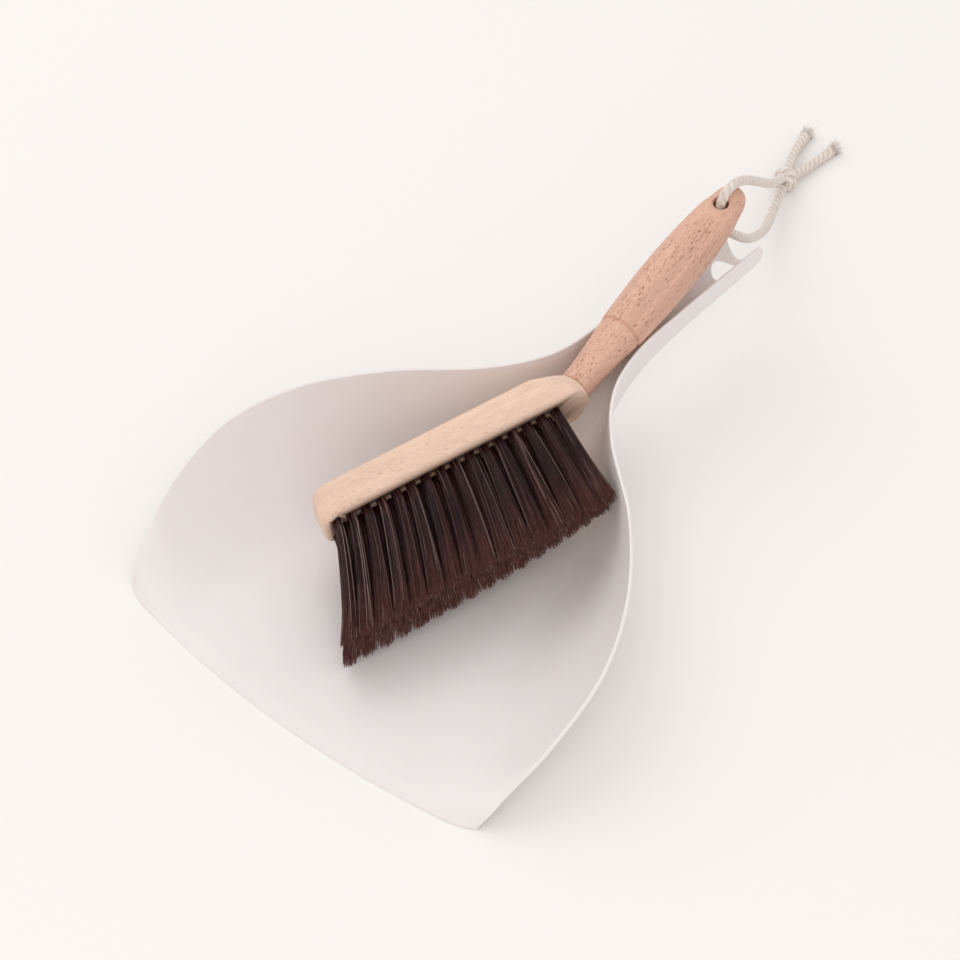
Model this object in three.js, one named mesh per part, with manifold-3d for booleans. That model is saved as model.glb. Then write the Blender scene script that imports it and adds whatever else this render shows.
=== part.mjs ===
// Dust pan and hand brush set, in millimetres: +Z up, +X to the right, +Y from the pan's lip to its handle.
// The origin lies on the pan's flat underside, on the pan's centre line.
import * as THREE from "three";
import Module from "manifold-3d";
import { mergeVertices } from "three/addons/utils/BufferGeometryUtils.js";

// ---- Dust pan ----
const LIP_Y = -95; // where the pan's two front corners lie
const PAN_LENGTH = 347; // from the corners to the end of the handle
const PAN_WALL = 2; // moulded wall thickness
const LIP_BOW = 11; // how far the lip's middle stands in front of its corners
const LIP_EDGE = 0.6; // the lip is feathered to this thickness
const LIP_FEATHER = 9; // over this length
const CORNER_ROUND = 3; // how far the two front corners are rounded back
const END_ROUND = 6; // how far the handle's two upper corners are rounded forward
const FLOOR_FLAT = 150; // the underside is flat for this far behind the corners
const FLOOR_RISE = 36; // the handle channel's underside stands this high
const FLOOR_RISE_END = 290;
const PAN_HOLE_R = 9; // hanging hole through the channel's bottom
const PAN_HOLE_FROM_END = 13; // its centre, from the end of the handle
const LIP_HALF = 108; // half width at the two corners
const SCOOP_HALF = 119.5; // largest half width
const CHANNEL_HALF = 14.3; // half width of the handle channel
const RIM_HEIGHT = 55; // of the rim round the back of the scoop
const CHANNEL_RIM = 61; // of the rims along the handle
// Stations along the pan: distance from the corners, outer half width, rim height,
// flat share of the floor's width, steepness of the wall at its rim in degrees.
const STATIONS = [
  [0, LIP_HALF, 0, 0.6, 12],
  [14, LIP_HALF + 5, RIM_HEIGHT - 43.5, 0.58, 32],
  [42, SCOOP_HALF, RIM_HEIGHT - 26, 0.54, 46],
  [79, SCOOP_HALF - 1, RIM_HEIGHT - 10.5, 0.48, 52],
  [116, SCOOP_HALF - 16.5, RIM_HEIGHT - 2, 0.5, 59],
  [153, SCOOP_HALF - 45, RIM_HEIGHT, 0.57, 68],
  [184, CHANNEL_HALF + 26.2, RIM_HEIGHT + 0.5, 0.52, 75],
  [210, CHANNEL_HALF + 7.1, CHANNEL_RIM - 4, 0.3, 80],
  [237, CHANNEL_HALF + 0.2, CHANNEL_RIM - 1.5, 0.22, 82],
  [270, CHANNEL_HALF, CHANNEL_RIM, 0.22, 84],
  [PAN_LENGTH, CHANNEL_HALF - 0.3, CHANNEL_RIM - 2.5, 0.22, 84],
];
const PAN_ROWS = 46;
const PAN_COLUMNS = 32;

// ---- Brush, in its own frame: +Y along the block, bristles towards +X, lying on its side ----
const BLOCK_LENGTH = 143; // free end to the seam with the handle
const BLOCK_THICK = 17.6; // back to bristle face
const BLOCK_WIDTH = 29; // across the rows of tufts
const BLOCK_EASE = 2.5; // eased edges
const BLOCK_CORNER = 9.5; // plan radius of the free end
const END_SLANT = 6; // the free end's cut leans this many degrees
const END_CUT = 3; // and is cut back this far
const BEND = 23.5; // the handle leaves the block at this angle, away from the bristles
const AXIS_DEPTH = 9.4; // the handle's axis meets the seam this far behind the bristle face
const NECK_R = 8.2;
const GRIP_R = 13; // the grip's belly
const TENON_R = 4.5;
const TENON_LENGTH = 12;
const SOCKET_GAP = 0.3;
const RING_AT = 40; // groove between neck and grip, from the seam
const HANDLE_LENGTH = 147;
const CORD_HOLE_R = 4;
const CORD_HOLE_FROM_TIP = 17.5;
const CORD_HOLE_STRAIGHT = 8.4; // half its straight length; beyond, the rims are broken at 45 degrees
const ROWS = 3;
const TUFT_PITCH = 7.9;
const TUFT_FIRST = 8; // first tuft from the free end
const TUFT_LAST = 14; // no tuft is nearer to the seam
const ROW_PITCH = 6.3;
const TUFT_R = 2.1;
const TUFT_TIP_R = 4.1;
const TUFT_HOLE_GAP = 0.4; // between a tuft and its hole
const TUFT_HOLE_DEPTH = 7;
const BRISTLE_LENGTH = 57.5; // that stands out of the bristle face
const TIP_FIRST = -18; // where the tip of the first tuft lies along the block
const TIP_PITCH = 9.3;
const TIP_ROW_PITCH = 8.6;
const TIP_TRIM = 3.2; // by the wall, the lowest row is shorter by this and the wall's thickness

// ---- Where the brush lies in the pan ----
const SEAM_AT = [2.6, 105.4]; // the seam's centre, seen from above
const BRUSH_YAW = -20.3; // block turned off the pan's centre line, degrees
const BRUSH_RISE = 7.5;
const BRUSH_TILT = 11; // bristles dip towards the pan's floor
const REST_GAP = 0.3; // between the brush and what it rests on

// ---- Cord ----
const CORD_R = 2.5;
const KNOT_AT = [-41, 356, 7];
const KNOT_R = 6.6;
const CORD_GAP = 0.4;

const rad = THREE.MathUtils.degToRad;
const wasm = await Module();
wasm.setup();

const toSolid = (geometry) => {
  const bare = geometry.index ? geometry.toNonIndexed() : geometry.clone();
  bare.deleteAttribute("normal");
  bare.deleteAttribute("uv");
  const merged = mergeVertices(bare, 1e-4);
  return new wasm.Manifold(
    new wasm.Mesh({
      numProp: 3,
      vertProperties: merged.attributes.position.array,
      triVerts: new Uint32Array(merged.index.array),
    }),
  );
};

const toGeometry = (solid) => {
  const mesh = solid.getMesh();
  const geometry = new THREE.BufferGeometry();
  geometry.setAttribute("position", new THREE.Float32BufferAttribute(mesh.vertProperties, 3));
  geometry.setIndex(new THREE.Uint32BufferAttribute(mesh.triVerts, 1));
  return geometry;
};

// A smooth curve through the stations, for one of their columns.
const along = (column, y) => {
  let i = 0;
  while (i < STATIONS.length - 2 && y > STATIONS[i + 1][0]) i += 1;
  const slope = (k) => {
    const a = STATIONS[Math.max(k - 1, 0)];
    const b = STATIONS[Math.min(k + 1, STATIONS.length - 1)];
    return (b[column] - a[column]) / (b[0] - a[0]);
  };
  const [p, q] = [STATIONS[i], STATIONS[i + 1]];
  const step = q[0] - p[0];
  const t = THREE.MathUtils.clamp((y - p[0]) / step, 0, 1);
  const [t2, t3] = [t * t, t * t * t];
  const start = (2 * t3 - 3 * t2 + 1) * p[column] + (t3 - 2 * t2 + t) * step * slope(i);
  return start + (3 * t2 - 2 * t3) * q[column] + (t3 - t2) * step * slope(i + 1);
};

const smooth = (x, a, b) => THREE.MathUtils.smootherstep(x, a, b);

// The pan's outer surface: s runs 0 to 1 from lip to handle end, t runs -1 to 1 across.
const panOuter = (s, t) => {
  const y = PAN_LENGTH * s ** 1.15;
  const side = Math.abs(t);
  const reach = along(1, y);
  const flat = along(3, y);
  const steep = rad(along(4, y));
  const bottom = FLOOR_RISE * smooth(y, FLOOR_FLAT, FLOOR_RISE_END);
  const turn = steep * Math.max(0, (side - flat) / (1 - flat));
  const wall = reach * (1 - flat);
  const x = side < flat ? reach * side : reach * flat + (wall * Math.sin(turn)) / Math.sin(steep);
  const height = Math.max(along(2, y) - bottom, 0);
  const z = bottom + (height * (1 - Math.cos(turn))) / (1 - Math.cos(steep));
  const bow = LIP_BOW * (1 - side * side) * (1 - smooth(y, 0, 150));
  const corner = CORNER_ROUND * side ** 20 * (1 - smooth(y, 0, 40));
  const end = END_ROUND * side ** 8 * smooth(y, PAN_LENGTH - 30, PAN_LENGTH);
  return new THREE.Vector3(Math.sign(t) * x, y - bow + corner - end, z);
};

const panThickness = (s, t) => {
  const behind = panOuter(s, t).y - panOuter(0, t).y;
  return LIP_EDGE + (PAN_WALL - LIP_EDGE) * smooth(behind, 0, LIP_FEATHER);
};

const panInner = (s, t) => {
  const e = 1e-3;
  const ds = panOuter(Math.min(s + e, 1), t).sub(panOuter(Math.max(s - e, 0), t));
  const dt = panOuter(s, Math.min(t + e, 1)).sub(panOuter(s, Math.max(t - e, -1)));
  const up = dt.cross(ds).normalize();
  return panOuter(s, t).addScaledVector(up, panThickness(s, t));
};

// A closed shell between an outer and an inner grid of points.
function shellGeometry(rows, columns, outer, inner) {
  const points = [];
  for (const surface of [outer, inner]) {
    for (let i = 0; i <= rows; i += 1) {
      for (let j = 0; j <= columns; j += 1) points.push(surface(i / rows, (2 * j) / columns - 1));
    }
  }
  const layer = (rows + 1) * (columns + 1);
  const at = (k, i, j) => k * layer + i * (columns + 1) + j;
  const faces = [];
  const quad = (a, b, c, d) => faces.push(a, b, c, a, c, d);
  for (let i = 0; i < rows; i += 1) {
    for (let j = 0; j < columns; j += 1) {
      quad(at(0, i, j), at(0, i + 1, j), at(0, i + 1, j + 1), at(0, i, j + 1));
      quad(at(1, i, j), at(1, i, j + 1), at(1, i + 1, j + 1), at(1, i + 1, j));
    }
    quad(at(0, i, 0), at(1, i, 0), at(1, i + 1, 0), at(0, i + 1, 0));
    quad(at(0, i, columns), at(0, i + 1, columns), at(1, i + 1, columns), at(1, i, columns));
  }
  for (let j = 0; j < columns; j += 1) {
    quad(at(0, 0, j), at(0, 0, j + 1), at(1, 0, j + 1), at(1, 0, j));
    quad(at(0, rows, j), at(1, rows, j), at(1, rows, j + 1), at(0, rows, j + 1));
  }
  const geometry = new THREE.BufferGeometry().setFromPoints(points);
  geometry.setIndex(faces);
  return geometry;
}

function dustPan() {
  const shell = toSolid(shellGeometry(PAN_ROWS, PAN_COLUMNS, panOuter, panInner));
  const drill = new THREE.CylinderGeometry(PAN_HOLE_R, PAN_HOLE_R, 60, 40);
  drill.rotateX(Math.PI / 2);
  drill.translate(0, PAN_LENGTH - PAN_HOLE_FROM_END, FLOOR_RISE);
  const geometry = toGeometry(shell.subtract(toSolid(drill)));
  geometry.translate(0, LIP_Y, 0);
  return geometry;
}

// ---- Brush pieces ----
const TUFTS_PER_ROW = Math.floor((BLOCK_LENGTH - TUFT_FIRST - TUFT_LAST) / TUFT_PITCH) + 1;
const CORD_HOLE_AT = HANDLE_LENGTH - CORD_HOLE_FROM_TIP; // from the seam

const seam = new THREE.Vector3(-AXIS_DEPTH, BLOCK_LENGTH, 0);
const handleAxis = new THREE.Vector3(-Math.sin(rad(BEND)), Math.cos(rad(BEND)), 0);

// Turns a body of revolution about +Y onto the handle's axis, its y = 0 at the seam.
const ontoHandle = (geometry) => {
  geometry.rotateZ(rad(BEND));
  geometry.translate(seam.x, seam.y, seam.z);
  return geometry;
};

const turned = (profile, sides) =>
  ontoHandle(new THREE.LatheGeometry(profile.map(([r, a]) => new THREE.Vector2(r, a)), sides));

// Radius along the handle: the neck from the seam to the ring, then the grip to its tip.
const onGrip = (share) => RING_AT + share * (HANDLE_LENGTH - RING_AT);
const HANDLE_PROFILE = [
  [NECK_R, SOCKET_GAP],
  [NECK_R + 0.2, 10],
  [NECK_R + 1, 20],
  [NECK_R + 2, RING_AT - 8],
  [NECK_R + 2.8, RING_AT - 1.5],
  [NECK_R + 2.3, RING_AT - 0.9],
  [NECK_R + 2.3, RING_AT],
  [GRIP_R - 1.4, RING_AT + 0.8],
  [GRIP_R - 0.8, onGrip(0.13)],
  [GRIP_R - 0.2, onGrip(0.26)],
  [GRIP_R, onGrip(0.4)],
  [GRIP_R - 0.3, onGrip(0.55)],
  [GRIP_R - 1.1, onGrip(0.69)],
  [GRIP_R - 2.3, onGrip(0.81)],
  [GRIP_R - 3.6, HANDLE_LENGTH - 14],
  [GRIP_R - 4.9, HANDLE_LENGTH - 7],
  [6.1, HANDLE_LENGTH - 2.6],
  [3.2, HANDLE_LENGTH - 0.5],
  [0, HANDLE_LENGTH],
];

// The middle row's tufts stand half a pitch on, between those of the two outer rows.
const shift = (row) => (row === 1 ? 0.5 : 0);
const tuftRoot = (row, i) => TUFT_FIRST + TUFT_PITCH * (i + shift(row));
const tuftTip = (row, i) => TIP_FIRST + TIP_PITCH * (i + shift(row));
const tuftsIn = (row) => (row === 1 ? TUFTS_PER_ROW - 1 : TUFTS_PER_ROW);
const tuftReach = (row, i) => {
  const nearWall = ((i + shift(row)) / (TUFTS_PER_ROW - 1)) ** 3;
  return BRISTLE_LENGTH - (TIP_TRIM + PAN_WALL) * (1 - row / (ROWS - 1)) * nearWall;
};

// The brush lies with its handle on the channel's two rims and its first tuft on the scoop's floor.
const turnBrush = new THREE.Quaternion().setFromEuler(
  new THREE.Euler(rad(BRUSH_RISE), rad(BRUSH_TILT), rad(BRUSH_YAW), "ZXY"),
);
const seamHeight = () => {
  const axis = handleAxis.clone().applyQuaternion(turnBrush);
  let height = 0;
  for (const [radius, a] of HANDLE_PROFILE) {
    const y = SEAM_AT[1] + axis.y * a - LIP_Y;
    const free = along(1, y) - PAN_WALL - Math.abs(SEAM_AT[0] + axis.x * a);
    const reach = radius + REST_GAP;
    const above = Math.sqrt(Math.max(reach ** 2 - free ** 2, 0));
    if (free < reach) height = Math.max(height, along(2, y) + above - axis.z * a);
  }
  const tip = new THREE.Vector3(tuftReach(0, 0), tuftTip(0, 0), -TIP_ROW_PITCH).sub(seam);
  const drop = tip.applyQuaternion(turnBrush).z - TUFT_TIP_R;
  return Math.max(height, PAN_WALL + REST_GAP - drop);
};
const placeBrush = new THREE.Matrix4().compose(
  new THREE.Vector3(...SEAM_AT, seamHeight()).sub(seam.clone().applyQuaternion(turnBrush)),
  turnBrush,
  new THREE.Vector3(1, 1, 1),
);

function brushBlock() {
  const half = BLOCK_WIDTH / 2 - BLOCK_EASE;
  const start = BLOCK_EASE;
  const end = BLOCK_LENGTH + 12; // past the seam, where the bell cuts it
  const corner = BLOCK_CORNER - BLOCK_EASE;
  const plan = new THREE.Shape();
  plan.moveTo(start + corner, -half);
  plan.lineTo(end, -half);
  plan.lineTo(end, half);
  plan.lineTo(start + corner, half);
  plan.absarc(start + corner, half - corner, corner, Math.PI / 2, Math.PI, false);
  plan.absarc(start + corner, corner - half, corner, Math.PI, Math.PI * 1.5, false);
  const stock = new THREE.ExtrudeGeometry(plan, {
    depth: BLOCK_THICK - 2 * BLOCK_EASE,
    bevelThickness: BLOCK_EASE,
    bevelSize: BLOCK_EASE,
    bevelSegments: 3,
    curveSegments: 8,
  });
  // plan x runs along the block, plan y across it, and the extrusion through its thickness
  stock.applyMatrix4(new THREE.Matrix4().set(0, 0, 1, 0, 1, 0, 0, 0, 0, 1, 0, 0, 0, 0, 0, 1));
  stock.translate(BLOCK_EASE - BLOCK_THICK, 0, 0);
  const place = stock.attributes.position;
  for (let i = 0; i < place.count; i += 1) {
    const lean = (place.getX(i) + BLOCK_THICK) * Math.tan(rad(END_SLANT));
    if (place.getY(i) < BLOCK_CORNER + BLOCK_EASE) place.setY(i, place.getY(i) - lean + END_CUT);
  }
  // The block is turned down to the neck's radius at the seam, bell-shaped.
  const bell = [
    [0, -200],
    [NECK_R + 101.8, -200],
    [NECK_R + 25.8, -50],
    [NECK_R + 20.4, -32],
    [NECK_R + 15.3, -21],
    [NECK_R + 11, -14],
    [NECK_R + 6.2, -7],
    [NECK_R + 3, -2.8],
    [NECK_R + 1.2, -0.8],
    [NECK_R, 0],
    [0, 0],
  ];
  const socket = [[0, -TENON_LENGTH - SOCKET_GAP], [TENON_R + SOCKET_GAP, -TENON_LENGTH - SOCKET_GAP]];
  socket.push([TENON_R + SOCKET_GAP, 5], [0, 5]);
  let block = toSolid(stock).intersect(toSolid(turned(bell, 48))).subtract(toSolid(turned(socket, 24)));
  const holeR = TUFT_R + TUFT_HOLE_GAP;
  for (let row = 0; row < ROWS; row += 1) {
    for (let i = 0; i < tuftsIn(row); i += 1) {
      const hole = new THREE.CylinderGeometry(holeR, holeR, 2 * TUFT_HOLE_DEPTH, 8);
      hole.rotateZ(Math.PI / 2);
      hole.translate(0, tuftRoot(row, i), (row - 1) * ROW_PITCH);
      block = block.subtract(toSolid(hole));
    }
  }
  return toGeometry(block);
}

function brushHandle() {
  const tenon = [[0, -TENON_LENGTH], [TENON_R, -TENON_LENGTH], [TENON_R, SOCKET_GAP]];
  const far = CORD_HOLE_STRAIGHT + 12;
  const drill = [
    [0, -far],
    [CORD_HOLE_R + 12, -far],
    [CORD_HOLE_R, -CORD_HOLE_STRAIGHT],
    [CORD_HOLE_R, CORD_HOLE_STRAIGHT],
    [CORD_HOLE_R + 12, far],
    [0, far],
  ];
  const bit = new THREE.LatheGeometry(drill.map(([r, a]) => new THREE.Vector2(r, a)), 28);
  bit.rotateX(Math.PI / 2);
  bit.translate(0, CORD_HOLE_AT, 0);
  const handle = toSolid(turned([...tenon, ...HANDLE_PROFILE], 32));
  return toGeometry(handle.subtract(toSolid(ontoHandle(bit))));
}

// A tuft: straight in its hole, then fanning out to its tip.
function tuftGeometry(row, i) {
  const across = row - 1;
  const root = tuftRoot(row, i);
  const tip = tuftTip(row, i);
  const sides = 8;
  const rings = [
    [0.5 - TUFT_HOLE_DEPTH, root, across * ROW_PITCH, TUFT_R],
    [0.6, root, across * ROW_PITCH, TUFT_R],
    [tuftReach(row, i) * 0.4, root + (tip - root) * 0.34, across * (ROW_PITCH + 0.8), 2.9],
    [tuftReach(row, i), tip, across * TIP_ROW_PITCH, TUFT_TIP_R],
  ];
  const points = [];
  for (const [x, y, z, r] of rings) {
    for (let k = 0; k < sides; k += 1) {
      const turn = ((k + 0.5) / sides) * 2 * Math.PI;
      points.push(new THREE.Vector3(x, y + r * Math.cos(turn), z + r * Math.sin(turn)));
    }
  }
  const faces = [];
  for (let n = 0; n < rings.length - 1; n += 1) {
    for (let k = 0; k < sides; k += 1) {
      const [a, b] = [n * sides + k, n * sides + ((k + 1) % sides)];
      faces.push(a, b, b + sides, a, b + sides, a + sides);
    }
  }
  const last = (rings.length - 1) * sides;
  for (let k = 1; k < sides - 1; k += 1) {
    faces.push(0, k + 1, k, last, last + k, last + k + 1);
  }
  const geometry = new THREE.BufferGeometry().setFromPoints(points);
  geometry.setIndex(faces);
  return geometry;
}

// ---- Cord: through the handle's end, over it and down to a knot on the ground ----
const onHandle = (a, across, up) =>
  new THREE.Vector3(across * Math.cos(rad(BEND)), across * Math.sin(rad(BEND)), up)
    .add(seam)
    .addScaledVector(handleAxis, a)
    .applyMatrix4(placeBrush);

const knot = new THREE.Vector3(...KNOT_AT);
const besideKnot = (point) => {
  const away = point.clone().sub(knot).normalize();
  return knot.clone().addScaledVector(away, KNOT_R + CORD_GAP);
};

const cordGeometry = (points, steps, sides = 10) => {
  const round = new THREE.Shape();
  round.absarc(0, 0, CORD_R, 0, 2 * Math.PI, false);
  return new THREE.ExtrudeGeometry(round, {
    steps,
    curveSegments: sides,
    extrudePath: new THREE.CatmullRomCurve3(points),
  });
};

const v = (x, y, z) => new THREE.Vector3(x, y, z);
const cords = {
  cord_upper: [
    onHandle(CORD_HOLE_AT, 0, 0.3),
    onHandle(CORD_HOLE_AT, 0, 7),
    onHandle(CORD_HOLE_AT + 3.5, 0, 12.8),
    onHandle(CORD_HOLE_AT + 11, 0, 12.2),
    onHandle(CORD_HOLE_AT + 20, 0, 6),
    v(-15, 283, 64),
    v(-23, 308, 43),
    besideKnot(v(-40, 334, 22)),
  ],
  cord_lower: [
    onHandle(CORD_HOLE_AT, 0, -0.3),
    onHandle(CORD_HOLE_AT, 0, -8),
    onHandle(CORD_HOLE_AT + 4, 3, -16),
    v(-4, 257, 48),
    v(-9, 275, 34),
    v(-18, 301, 18),
    v(-28, 324, 9),
    besideKnot(v(-32, 334, 3)),
  ],
  cord_tail_left: [besideKnot(v(-54, 382, 9)), v(-52, 382, 5), v(-57, 400, 3)],
  cord_tail_right: [besideKnot(v(-35, 381, 3)), v(-39, 380, 3.5), v(-38, 398, 3)],
};

// ---- Assembly ----
const paint = (color, roughness) => new THREE.MeshStandardMaterial({ color, roughness });
const set = new THREE.Group();
set.name = "dust_pan_and_brush_set";
const add = (name, geometry, material, matrix) => {
  if (matrix) geometry.applyMatrix4(matrix);
  geometry.computeVertexNormals();
  const mesh = new THREE.Mesh(geometry, material);
  mesh.name = name;
  set.add(mesh);
};

add("dust_pan", dustPan(), paint(0xece6e0, 0.4));
add("brush_block", brushBlock(), paint(0xe0bf9c, 0.6), placeBrush);
add("brush_handle", brushHandle(), paint(0xe6b890, 0.55), placeBrush);
for (let row = 0; row < ROWS; row += 1) {
  for (let i = 0; i < tuftsIn(row); i += 1) {
    const name = `tuft_${"abc"[row]}${String(i + 1).padStart(2, "0")}`;
    add(name, tuftGeometry(row, i), paint(0x2e1c1a, 0.6), placeBrush);
  }
}
for (const [name, points] of Object.entries(cords)) {
  add(name, cordGeometry(points, name.includes("tail") ? 5 : 14), paint(0xe4dccf, 0.9));
}
const knotGeometry = new THREE.SphereGeometry(KNOT_R, 16, 12);
knotGeometry.translate(...KNOT_AT);
add("cord_knot", knotGeometry, paint(0xe4dccf, 0.9));

export default set;
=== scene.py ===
import math

import bmesh
import bpy
import numpy as np
from bpy.props import FloatProperty, FloatVectorProperty, IntProperty, PointerProperty
from mathutils import Euler, Matrix, Vector


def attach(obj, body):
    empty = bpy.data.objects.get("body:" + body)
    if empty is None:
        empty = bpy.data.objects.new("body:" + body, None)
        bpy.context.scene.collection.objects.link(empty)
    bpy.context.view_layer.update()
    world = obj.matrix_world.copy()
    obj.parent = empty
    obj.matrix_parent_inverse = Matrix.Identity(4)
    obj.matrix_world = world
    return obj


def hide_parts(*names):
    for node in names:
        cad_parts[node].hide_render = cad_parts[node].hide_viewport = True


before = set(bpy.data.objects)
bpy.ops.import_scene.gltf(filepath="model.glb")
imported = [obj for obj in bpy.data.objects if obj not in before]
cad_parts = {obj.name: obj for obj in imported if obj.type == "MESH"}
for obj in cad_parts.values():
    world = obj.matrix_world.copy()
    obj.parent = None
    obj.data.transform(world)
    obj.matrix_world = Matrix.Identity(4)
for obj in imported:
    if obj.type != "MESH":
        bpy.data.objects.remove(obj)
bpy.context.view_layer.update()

bl_info = {
    "name": "Dust Pan and Brush Set",
    "version": (1, 0, 0),
    "blender": (4, 5, 0),
    "location": "3D View > Sidebar > Dust Pan",
    "description": "Builds a scoop dust pan with a wooden hand brush lying in it",
    "category": "Add Mesh",
}

MM = 0.001


# ---- Sizes and colours a user would change ----
def size(label, about, millimetres):
    """A length property, its default given in millimetres."""
    return FloatProperty(
        name=label, description=about, default=millimetres * MM, unit="LENGTH", precision=4
    )


def tint(label, about, colour):
    """A colour property in linear light."""
    return FloatVectorProperty(
        name=label, description=about, default=colour, subtype="COLOR", size=3, min=0, max=1
    )


class PanSizes(bpy.types.PropertyGroup):
    length: size("Length", "From the lip's corners to the end of the handle", 347)
    wall: size("Wall", "Thickness of the moulded wall", 2)
    lip_bow: size("Lip bow", "How far the lip's middle stands in front of its corners", 11)
    lip_edge: size("Lip edge", "Thickness of the feathered lip", 0.6)
    lip_feather: size("Lip feather", "Length over which the lip is feathered", 9)
    hole_radius: size("Hanging hole", "Radius of the hole in the handle channel", 9)
    hole_inset: size("Hole inset", "The hole's centre, from the end of the handle", 13)


class BrushSizes(bpy.types.PropertyGroup):
    block_length: size("Block length", "From the free end to the seam with the handle", 143)
    axis_depth: size("Axis depth", "The handle's axis at the seam, behind the bristle face", 9.4)
    neck_radius: size("Neck radius", "At the seam", 8.2)
    grip_radius: size("Grip radius", "At the grip's belly", 13)
    ring_at: size("Ring", "The groove between neck and grip, from the seam", 40)
    handle_length: size("Handle length", "From the seam to the tip", 147)
    hole_radius: size("Cord hole", "Radius of the hole for the cord", 4)
    hole_from_tip: size("Cord hole place", "From the tip of the handle", 17.5)
    bristle_length: size("Bristle length", "That stands out of the block", 57.5)
    tuft_radius: size("Tuft radius", "Where a tuft leaves the block", 2.45)
    tuft_tip_radius: size("Tuft tip radius", "Where a tuft ends", 4.7)
    hair_radius: size("Hair radius", "Of a single bristle", 0.17)
    hairs: IntProperty(name="Hairs", description="Bristles in a tuft", default=230, min=10)


class CordSizes(bpy.types.PropertyGroup):
    radius: size("Cord radius", "Of the twisted cotton cord", 2.6)
    lay: size("Lay", "Length in which a strand goes once round", 13)
    fray: size("Fray", "Length of the loose threads at an end", 9)


class Finishes(bpy.types.PropertyGroup):
    plastic: tint("Plastic", "The pan", (0.80, 0.75, 0.745))
    # painted bounce light: a warm tint in the pan's throat that stands in for light thrown off the wooden
    # brush
    throat_bounce_light: tint("Warmth", "The pan's throat, inside", (0.84, 0.755, 0.70))
    block: tint("Block wood", "Pale beech", (0.86, 0.63, 0.5))
    grip: tint("Grip wood", "Pinkish beech", (0.74, 0.455, 0.345))
    pore: tint("Pores", "Dark flecks in the wood", (0.30, 0.13, 0.07))
    hair: tint("Bristle", "Near the block", (0.028, 0.0075, 0.009))
    hair_tip: tint("Bristle tip", "At the free ends", (0.15, 0.046, 0.036))
    cotton: tint("Cotton", "The cord", (0.88, 0.80, 0.76))
    floor: tint("Floor", "What the set lies on", (0.885, 0.86, 0.845))


GROUPS = {
    "pan_sizes": PanSizes,
    "brush_sizes": BrushSizes,
    "cord_sizes": CordSizes,
    "finishes": Finishes,
}

# ---- Fixed shape numbers, in millimetres and degrees ----
LIP_Y = -95  # where the pan's two front corners lie
CORNER_ROUND = 3
END_ROUND = 6
FLOOR_FLAT, FLOOR_RISE, FLOOR_RISE_END = 150, 36, 290
# Stations along the pan: distance from the corners, outer half width, rim height,
# flat share of the floor's width, steepness of the wall at its rim in degrees.
STATIONS = np.array([
    [0, 108, 0, 0.6, 12],
    [14, 113, 11.5, 0.58, 32],
    [42, 119.5, 29, 0.54, 46],
    [79, 118.5, 44.5, 0.48, 52],
    [116, 103, 53, 0.5, 59],
    [153, 74.5, 55, 0.57, 68],
    [184, 40.5, 55.5, 0.52, 75],
    [210, 21.4, 57, 0.3, 80],
    [237, 14.5, 59.5, 0.22, 82],
    [270, 14.3, 61, 0.22, 84],
    [347, 14, 58.5, 0.22, 84],
])

ALONG_POWER = 1.15  # the way along the pan is its length times s to this power

BEND = math.radians(23.5)  # the handle leaves the block at this angle
SEAM_AT = Vector((2.6, 105.4, 54.8))  # the seam's centre
TURN = Euler(tuple(math.radians(a) for a in (7.5, 11, -20.3)), "YXZ").to_matrix()
ROWS = {"a": (0, 16), "b": (1, 15), "c": (2, 16)}  # row and number of tufts
LAST_TUFT = 15  # the last step along a row
TUFT_PITCH, TUFT_FIRST, ROW_PITCH = 7.9, 8, 6.3
TIP_PITCH, TIP_FIRST, TIP_ROW_PITCH = 9.3, -18, 8.6
TENON_LENGTH, TENON_RADIUS = 12, 4.5  # the handle's peg in the block
HOLE_STRAIGHT, HOLE_ROUND, HOLE_FLARE = 7.9, 1.4, 0.9  # the cord hole's half, then its rounded mouth
FREE_END_EXTRA = 1.5  # the bristles at the free end are longer by this
LOW_SPLAY = 3.4  # the lowest row hangs this much lower at its tips, away from the wall
HAIR_START = -5  # the bristles start this far inside their hole
TIP_UNEVEN = 4.2  # the shortest bristles of a tuft end this much before its longest
CLUMPS = 6  # gathered bunches in one tuft
BRISTLE_FIELD = 4, 133  # the stretch of the block that the tufts take
FIELD_MARGIN, FIELD_DEPTH = 3, 8  # the field's reach past the outer rows, and behind the bristle face
ROW_STEP = 2.6  # by the wall, each row is this much longer than the one below it
KNOT_AT = np.array([-41, 356, 7.0])
KNOT_SWELL = 1.08  # the cord is this much thicker where it is knotted
KNOT_CORE = 2.2  # legs and tails end at this distance from the knot's centre, plus the cord's radius
KNOT_TURNS, KNOT_COIL, KNOT_HEIGHT, KNOT_LEAN = 2.3, 4.2, 10.4, (-8, 0, 28)
THREAD_RADIUS = 0.13  # of one loose thread at a cut end


# ---- Mesh tools ----
def grid_faces(rows, columns, wrap=False):
    """Quads between neighbours of a rows by columns grid; wrap joins its last column to its first."""
    i, j = np.meshgrid(np.arange(rows - 1), np.arange(columns - (not wrap)), indexing="ij")
    k = (j + 1) % columns
    quads = np.stack([i * columns + j, i * columns + k, (i + 1) * columns + k, (i + 1) * columns + j], -1)
    return quads.reshape(-1, 4)


def volume(points, quads):
    """Six times the volume that the quads enclose: the sum of a . (b x c) over their triangles."""
    a, b, c, d = (points[quads[:, n]] for n in range(4))
    return np.einsum("ij,ij->", a, np.cross(b, c)) + np.einsum("ij,ij->", a, np.cross(c, d))


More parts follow.
